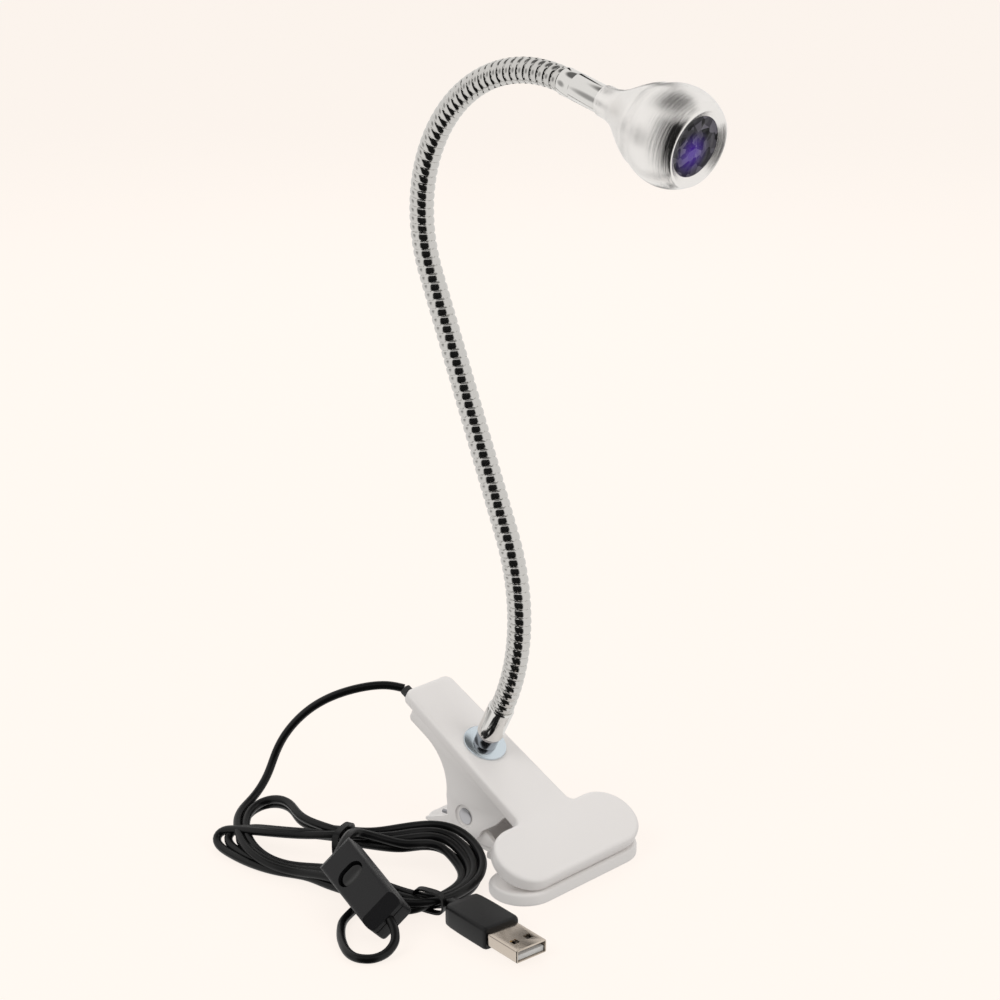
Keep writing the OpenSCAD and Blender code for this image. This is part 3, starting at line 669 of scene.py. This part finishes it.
def hose():
    """Each piece runs from the middle of one link to the middle of the next, following the hose's path."""
    middles = [(a + b) / 2 for a, b in zip(LINK_ENDS, LINK_ENDS[1:])]
    first = hose_piece("hose_foot", 0, middles[0])
    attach(first, "upper_arm")
    last = hose_piece("hose_end", middles[-1], HOSE_LEN)
    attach(last, "head")
    spread = 12
    for i in range(NECK_JOINTS):
        o = hose_piece(f"hose_{i + 1}", middles[i], middles[i + 1])
        x0, z0, _ = hose_at(LINK_ENDS[i + 1] - spread)
        x1, z1, _ = hose_at(LINK_ENDS[i + 1] + spread)
        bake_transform(o)
        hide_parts(f"neck_link_{i + 1}", f"neck_link_{i + 2}")


# ---------------------------------------------------------------- head
def head():
    back = -BALL_BACK - HEAD_FERRULE
    front = -BALL_BACK
    lathe("upper_ferrule", [(2.7, back - 0.1), (4.1, back - 0.1), (4.3, back + 0.3), (4.3, back + 4.6),
                            (4.2, back + 4.8), (4.2, back + 5.1), (4.3, back + 5.3), (4.3, front - 0.05),
                            (2.7, front - 0.05), (2.7, back - 0.1)], ON_HEAD, CHROME, "head", "chrome",
          ["head_ferrule"])
    flare = [(4.7, front), (4.85, front + 0.4), (4.9, -25.5), (5.1, -24), (5.8, -21.6), (7.0, -19.4),
             (8.6, -17), (10.3, -14.4), (11.8, -11.9), (12.9, -9.6)]
    start = math.degrees(math.asin(-8.0 / BALL_R))
    end = math.degrees(math.asin((FRONT_Z - 2.2) / BALL_R))
    ball = arc(0, 0, BALL_R, start, end, 24)
    profile = [(2.6, front)] + flare + ball + [(9.8, FRONT_Z - 2.2), (9.8, -7), (2.6, -7), (2.6, front)]
    lathe("head_housing", profile, ON_HEAD, SATIN, "head", "turned_aluminium", ["head_shell"], 128, 30)
    edge = math.degrees(math.asin(FRONT_Z / BALL_R))
    rim_points = arc(0, 0, BALL_R, end, edge - 1.2, 8)
    bezel = ([(LENS_R + 0.02, FRONT_Z - 2.18)] + rim_points
             + [(BEZEL_R - 0.1, FRONT_Z - 0.05), (BEZEL_R - 0.5, FRONT_Z),
                (LENS_R + 0.02, FRONT_Z - LENS_SINK), (LENS_R + 0.02, FRONT_Z - 2.18)])
    lathe("front_ring", bezel, ON_HEAD, BRIGHT, "head", "polished_aluminium", ["head_bezel"], 128, 30)
    lens()


def lens():
    """Lens cover: a disc of small facets, seeded, whose UV is its own plane."""
    verts, uvs = [(0, 0, 0)], [(0.5, 0.5)]
    rings, seg = 7, 26
    top = FRONT_Z - LENS_SINK - 0.05
    for i in range(1, rings + 1):
        for k in range(seg):
            a = 2 * math.pi * (k + 0.5 * (i % 2)) / seg
            r = LENS_R * i / rings
            wobble = 0 if i == rings else rng.uniform(-0.35, 0.0)
            verts.append((r * math.cos(a), r * math.sin(a), wobble))
            uvs.append((0.5 + 0.5 * r / LENS_R * math.cos(a), 0.5 + 0.5 * r / LENS_R * math.sin(a)))
    faces = [(0, 1 + k, 1 + (k + 1) % seg) for k in range(seg)]
    for i in range(rings - 1):
        base, up = 1 + i * seg, 1 + (i + 1) * seg
        for k in range(seg):
            faces.append((base + k, up + k, base + (k + 1) % seg))
            faces.append((base + (k + 1) % seg, up + k, up + (k + 1) % seg))
    n = len(verts)
    verts += [(LENS_R * math.cos(2 * math.pi * (k + 0.5 * (rings % 2)) / seg),
               LENS_R * math.sin(2 * math.pi * (k + 0.5 * (rings % 2)) / seg), -0.8) for k in range(seg)]
    uvs += [(0.5, 0.5)] * seg
    rim_start = 1 + (rings - 1) * seg
    for k in range(seg):
        faces.append((rim_start + k, n + k, n + (k + 1) % seg, rim_start + (k + 1) % seg))
    faces.append(tuple(n + k for k in range(seg)))
    placed = [ON_HEAD @ Vector((x, y, top + z)) for x, y, z in verts]
    make("lens_disc", placed, faces, LENS, "head", "lens_plastic", ["lens_cover"], 5, uvs)


# ---------------------------------------------------------------- cord
LEAD_ROUTE = [
    (-31.8, -7.2, 46.8), (-34, -8.5, 47.5), (-37, -11.5, 48), (-41, -16, 47.5),
    (-45.5, -21, 46), (-50, -26, 43.5), (-54.5, -30.5, 39.5), (-58.5, -34.5, 34),
    (-61.5, -38, 27.5), (-62.5, -41, 21), (-61, -44.5, 17), (-58.5, -47.5, 15.1),
]
BRIDGE_ROUTE = [(-12, -47, 13.6), (-11, -51, 15.3), (-8, -56.5, 16), (-4.4, -62.8, 14.2)]
LOOP_ROUTE = [
    (31.6, -73.3, 8.3), (35, -74.6, 6.5), (37.5, -77, 4.2), (38, -81, 2.2), (36.8, -85.5, 1.6),
    (33, -88.6, 1.6), (28, -88.2, 1.6), (22, -85, 1.6), (17, -81, 1.6), (13, -76.5, 1.6),
    (10.5, -71, 1.6), (9.2, -66.5, 1.6), (8.8, -62.4, 1.6),
]
TO_PLUG = [(10.6, -57, 1.6), (15.5, -52, 1.6), (21.5, -49.8, 1.8), (27, -48.2, 2.8), (31.9, -46.6, 3.9)]


def smooth_route(points, steps):
    """Catmull-Rom curve through the points."""
    out = []
    n = len(points)
    for i in range(n - 1):
        p0, p1, p2, p3 = (Vector(points[min(max(j, 0), n - 1)]) for j in (i - 1, i, i + 1, i + 2))
        for j in range(steps):
            t = j / steps
            out.append(0.5 * (2 * p1 + (p2 - p0) * t + (2 * p0 - 5 * p1 + 4 * p2 - p3) * t * t
                              + (3 * p1 - p0 - 3 * p2 + p3) * t ** 3))
    out.append(Vector(points[-1]))
    return out


def tube(name, path, r, mat, seg=12):
    """Round tube along a dense path in mm. The cross-section is carried along without twisting."""
    verts = []
    n = len(path)
    up = Vector((0, 0, 1))
    for i, p in enumerate(path):
        along = (path[min(i + 1, n - 1)] - path[max(i - 1, 0)]).normalized()
        side = along.cross(up)
        if side.length < 0.05:
            side = Vector((1, 0, 0))
        side.normalize()
        up = side.cross(along).normalized()
        for k in range(seg):
            a = 2 * math.pi * k / seg
            verts.append(p + (side * math.cos(a) + up * math.sin(a)) * r)
    faces = grid_faces(n, seg) + [tuple(range(seg)), tuple((n - 1) * seg + k for k in range(seg))]
    return make(name, verts, faces, mat, None, sharp=60)


def relax(points, spacing, rounds):
    """Even out the spacing of a route and take out its kinks; both ends stay where they are."""
    for _ in range(2):
        even, left = [points[0]], spacing
        for a, b in zip(points, points[1:]):
            span = (b - a).length
            done = 0.0
            while span - done > left:
                done += left
                even.append(a.lerp(b, done / span))
                left = spacing
            left -= span - done
        points = even + [points[-1]]
        for _ in range(rounds):
            middle = [(p + q + r) / 3 for p, q, r in zip(points, points[1:], points[2:])]
            points = [points[0]] + middle + [points[-1]]
    return points


# The hank is one continuous run of the cord. Each turn goes from the upper tie round the left lobe,
# back under the switch to the lower tie, and over the right lobe to the upper tie again.
LEFT_TURN = [
    (-33, -50.5, 12.5), (-45, -46.2, 13.3), (-54, -46.3, 13), (-60.5, -51.5, 11), (-58.5, -60, 9),
    (-50.5, -67, 7), (-40, -70.8, 5), (-29, -70.5, 3.6), (-20, -66.5, 3),
]
TIP_TURN = [
    (-29, -57, 10), (-40, -62.5, 9), (-49.5, -66, 7.8), (-56.5, -67.4, 6.2), (-60, -69.4, 4.2),
    (-56.5, -72, 2.4), (-47, -72.5, 1.7), (-37, -72, 1.7), (-27, -69.4, 1.7), (-18, -64.6, 1.7),
]
UNDER_TURN = [(-10, -61, 3), (2, -58.5, 3), (14, -57, 3), (23, -54.5, 3)]
RIGHT_TURN = [
    (28.4, -48, 4), (29.6, -40, 4.4), (28, -31, 5), (22.5, -23, 6.2), (13.5, -18.2, 8),
    (4.5, -17.6, 10), (-1.5, -21.5, 11), (-4.5, -28, 11.8), (-7.5, -35, 12), (-11, -42, 12),
]
WAIST_TURN = [(-17, -48.6, 12)]
LEFT_C = Vector((-41, -58, 0))
RIGHT_C = Vector((14, -38, 0))
HANK_TURNS = 6
DROP = 2.7
LOWEST = 1.6


def hank_turn(i):
    """One turn. Turns 0 to 2 go round the left lobe, and turns 3 to 5 fold over at its left tip instead."""
    group, member = divmod(i, 3)
    shrink = 0.34 * group + 0.11 * member
    lower = (DROP if member == 1 else 0) + group * 0.6
    points = []
    if group:
        for x, y, z in TIP_TURN:
            points.append(Vector((x + 3.4 * member, y + 2.2 * member, z + 0.6 * member)))
    else:
        for p in LEFT_TURN:
            v = Vector(p)
            flat = LEFT_C + (Vector((v.x, v.y, 0)) - LEFT_C) * (1 - shrink * 0.95)
            points.append(Vector((flat.x, flat.y, max(LOWEST, v.z - lower * (v.z > 6)))))
    for x, y, z in UNDER_TURN:
        points.append(Vector((x, y + 3.1 * (member - 1), z + 1.6 - 2.95 * group)))
    for p in RIGHT_TURN:
        v = Vector(p)
        near = min(1, max(0, (v.z - 4) / 3))
        flat = RIGHT_C + (Vector((v.x, v.y, 0)) - RIGHT_C) * (1 - shrink * (0.35 + 0.65 * near))
        points.append(Vector((flat.x, flat.y, max(LOWEST, v.z - lower * 0.8))))
    for x, y, z in WAIST_TURN:
        points.append(Vector((x + 1.1 * (1 - member), y + 3.0 * (1 - member), z - 3.0 * group)))
    return points


def main_route():
    """From the grommet, round the hank, and out to the switch."""
    points = [Vector(p) for p in LEAD_ROUTE[:-1]]
    for i in range(HANK_TURNS):
        points += hank_turn(i)[3 if i == 0 else 0:]
    points = points[:-1]
    points += [Vector(p) for p in BRIDGE_ROUTE]
    return relax(smooth_route(points, 6), 1.3, 5)


def band(name, at, angle, half, low, high):
    """Thin twist tie: a flat band around the bundle."""
    place = Matrix.Translation((at[0], at[1], 0)) @ Matrix.Rotation(math.radians(angle), 4, "Z")
    wide, thick = 2.2, 0.7
    centre = (low + high) / 2
    tall = (high - low) / 2
    verts = []
    seg = 32
    for k in range(seg):
        a = 2 * math.pi * k / seg
        c, s = math.cos(a), math.sin(a)
        y = half * math.copysign(abs(c) ** 0.6, c)
        z = centre + tall * math.copysign(abs(s) ** 0.6, s)
        inner = Vector((0, y * (1 - thick / half), centre + (z - centre) * (1 - thick / tall)))
        for x in (-wide / 2, wide / 2):
            verts.append(place @ Vector((x, y, z)))
        for x in (wide / 2, -wide / 2):
            verts.append(place @ Vector((x, inner.y, inner.z)))
    faces = [
        (k * 4 + j, k * 4 + (j + 1) % 4, (k + 1) % seg * 4 + (j + 1) % 4, (k + 1) % seg * 4 + j)
        for k in range(seg) for j in range(4)
    ]
    return make(name, verts, faces, CORD, "lower_arm")


def cords():
    path = main_route()
    o = tube("main_cord", path, CORD_D / 2, CORD)
    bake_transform(o)
    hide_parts("cord_lead", "cord_hank", "cord_bridge")
    tail = smooth_route(LOOP_ROUTE + TO_PLUG, 6)
    t = tube("plug_cord", tail, CORD_D / 2, CORD)
    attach(t, "lower_arm")
    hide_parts("cord_loop")
    return o, path, t, tail


# ---------------------------------------------------------------- switch
SWITCH_AT = (13.6, -68.1, 11.3)
SWITCH_TURN = (43, 9, -16)
SWITCH_L = 38
SWITCH_W = 13.4
SWITCH_T = 10
SLOPE_L = 4.3
SLOPE_TURN = 38
SCREW_X = 14
SCREW_Y = 3.6
ROCKER_X = -3
ON_SWITCH = (Matrix.Translation(SWITCH_AT)
             @ Euler([math.radians(v) for v in SWITCH_TURN], "XYZ").to_matrix().to_4x4())


def oval(length, width, steps=10):
    """Counter-clockwise oval, long across the switch."""
    r = length / 2
    d = (width - length) / 2
    return arc(0, d, r, 0, 180, steps) + arc(0, -d, r, 180, 360, steps)


def rounded_box(l, w, r, steps=4):
    x, y = l / 2 - r, w / 2 - r
    return (arc(x, -y, r, -90, 0, steps) + arc(x, y, r, 0, 90, steps)
            + arc(-x, y, r, 90, 180, steps) + arc(-x, -y, r, 180, 270, steps))


def switch():
    outline = rounded_box(SWITCH_L, SWITCH_W, 1.6)
    half = SWITCH_T / 2
    top_layers = [(1.4, 0.06), (0.12, 0.06), (0, 0.2), (0, half - 1.3), (0.25, half - 0.6),
                  (0.75, half - 0.15), (1.5, half)]
    top = layered("switch_cover", outline, top_layers, ON_SWITCH, SWITCH, "lower_arm")
    hole_at = ON_SWITCH @ Matrix.Translation((ROCKER_X, 0, 0))
    hole = layered("hole", oval(7.2, 9.8), [(0, 0.9), (0, half + 1)], hole_at, SWITCH, None)
    cut(top, hole)
    slopes = [
        block("slope", (0, -12, 0), (14, 12, 10), ON_SWITCH @ Matrix.Rotation(turn, 4, "Z")
              @ Matrix.Translation((SWITCH_L / 2 - SLOPE_L, 0, half))
              @ Matrix.Rotation(math.radians(SLOPE_TURN), 4, "Y"), SWITCH, None, 0)
        for turn in (0, math.pi)
    ]
    cut(top, *slopes)
    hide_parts("switch_top")
    low_layers = [(1.2, -half), (0.5, -half + 0.12), (0.12, -half + 0.5), (0, -half + 1.1), (0, -0.2),
                  (0.12, -0.06), (1.4, -0.06)]
    low = layered("switch_base", outline, low_layers, ON_SWITCH, SWITCH, "lower_arm", slot="switch_plastic",
                  stands_for=["switch_bottom"])
    for x in (-SCREW_X, SCREW_X):
        hole = lathe("hole", [(1.0, -half - 1), (1.0, -half + 1.6)],
                     ON_SWITCH @ Matrix.Translation((x, SCREW_Y, 0)), SWITCH, None, seg=24)
        cut(low, hole)
    rows = []
    shape = oval(6.4, 9.0)
    for d, h in ((0.3, 1.5), (0.0, 2.6), (0.0, 3.3), (0.25, 3.6), (0.7, 3.75)):
        rows.append([(x, y, h + 0.16 * abs(x) * (h > 2)) for x, y in inset(shape, d)])
    for grow in (0.6, 0.3):
        rows.append([(x * grow, y * grow, 3.75 + 0.16 * abs(x * grow) - 0.25 * (1 - grow))
                     for x, y in inset(shape, 0.7)])
    verts = [hole_at @ Vector(p) for row in rows for p in row]
    n = len(shape)
    faces = grid_faces(len(rows), n) + [tuple(range(n)), tuple((len(rows) - 1) * n + k for k in range(n))]
    make("rocker_cap", verts, faces, ROCKER, "rocker", "rocker_plastic", ["switch_rocker"])
    return top, low


# ---------------------------------------------------------------- plug
PLUG_AT = (36.2, -47.1, 0)
PLUG_YAW = -6
MOULD_L = 21
MOULD_H = 7.8
USB_W = 12
USB_H = 4.5
USB_L = 14.4
ON_PLUG = Matrix.Translation(PLUG_AT) @ Matrix.Rotation(math.radians(PLUG_YAW), 4, "Z")


def plug():
    mid = MOULD_H / 2
    rows = []
    steps = 5
    relief = [(-4.6, 3.6, 3.6, 1.75), (-3.2, 4.2, 4.2, 2.0), (-0.6, 5.4, 5.0, 2.3), (0, 6.2, 5.4, 2.0)]
    grip = [(0.3, 12.6, 7.0, 1.6), (0.9, 13.4, 7.5, 1.4), (3, 13.8, 7.7, 1.3), (8, 14, 7.8, 1.2),
            (19.6, 14, 7.8, 1.2), (20.5, 13.7, 7.5, 1.2), (21, 13.0, 6.9, 1.1)]
    for x, w, h, r in relief + grip:
        rows.append([(x, y, z + mid) for y, z in rounded_box(w, h, r, steps)])
    n = len(rows[0])
    verts = [ON_PLUG @ Vector(p) for row in rows for p in row]
    faces = grid_faces(len(rows), n) + [tuple(range(n)), tuple((len(rows) - 1) * n + k for k in range(n))]
    mould = make("plug_grip", verts, faces, MOULD, "lower_arm", "switch_plastic", ["plug_overmould"], 45)
    back, front = MOULD_L - 0.4, MOULD_L + USB_L
    rows = []
    for x, d in ((back, 0), (front - 0.25, 0), (front, 0.18), (front, 0.45), (back, 0.45)):
        rows.append([(x, y, z + mid) for y, z in rounded_box(USB_W - 2 * d, USB_H - 2 * d, 0.6 - d * 0.8, 4)])
    n = len(rows[0])
    verts = [ON_PLUG @ Vector(p) for row in rows for p in row]
    faces = grid_faces(len(rows), n)
    faces += [((len(rows) - 1) * n + k, (len(rows) - 1) * n + (k + 1) % n, (k + 1) % n, k) for k in range(n)]
    shell = make("plug_sleeve", verts, faces, NICKEL, "lower_arm", "nickel", ["plug_shell"], 40)
    windows = [
        block("window", (front - 6.2, y, mid + 1), (front - 3.8, y + 2.4, mid + 4), ON_PLUG, NICKEL, None, 0)
        for y in (-3.9, 1.5)
    ]
    cut(shell, *windows)
    tongue = block("plug_core", (MOULD_L - 0.2, -USB_W / 2 + 0.6, mid - USB_H / 2 + 0.5),
                   (front - 0.7, USB_W / 2 - 0.6, mid - USB_H / 2 + 2.3), ON_PLUG, TONGUE, "lower_arm", 0.15,
                   slot="tongue_white", stands_for=["plug_tongue"])
    return [mould, shell, tongue]


# ---------------------------------------------------------------- finishes of the CAD nodes that stay
PLAIN = {
    "spring_lower_half": (SPRING, "spring_steel"),
    "spring_upper_half": (SPRING, "spring_steel"),
    "lower_pad": (RUBBER, "rubber"),
    "upper_pad": (RUBBER, "rubber"),
    "lock_washer": (STEEL, "steel"),
    "clamp_nut": (STEEL, "steel"),
    "base_stud": (STEEL, "steel"),
    "arm_wire": (CORD, "cord_pvc"),
    "cord_grommet": (RUBBER, "rubber"),
    "lens_seal": (RUBBER, "rubber"),
    "lens_body": (CLEAR, "clear_plastic"),
    "lens_holder": (ROCKER, "rocker_plastic"),
    "led_emitter": (GOLD, "contact_gold"),
    "led_board": (BOARD, "board_core"),
    "board_screws": (STEEL, "steel"),
    "head_wire": (WIRE, "wire_red"),
    "switch_contacts": (GOLD, "brass"),
    "switch_screws": (STEEL, "steel"),
    "plug_contacts": (GOLD, "contact_gold"),
}


def plain_nodes():
    for i in range(1, 10):
        PLAIN[f"neck_wire_{i}"] = (WIRE, "wire_red")
    for name, (mat, slot) in PLAIN.items():
        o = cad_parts[name]
        o.data.materials.clear()
        o.data.materials.append(mat)


camera()
studio()
upper_arm()
lower_arm()
hinge_pin()
foot()
hose()
head()
switch_pieces = switch()
plug_pieces = plug()
cord, cord_path, tail, tail_path = cords()
tie_a = band("tie_band_1", (-17.5, -48.8), 19.3, 6.2, 4.5, 14.4)
tie_b = band("tie_band_2", (26, -51), -75, 5.8, 0.1, 8.2)
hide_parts("tie_1")
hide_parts("tie_2")
plain_nodes()
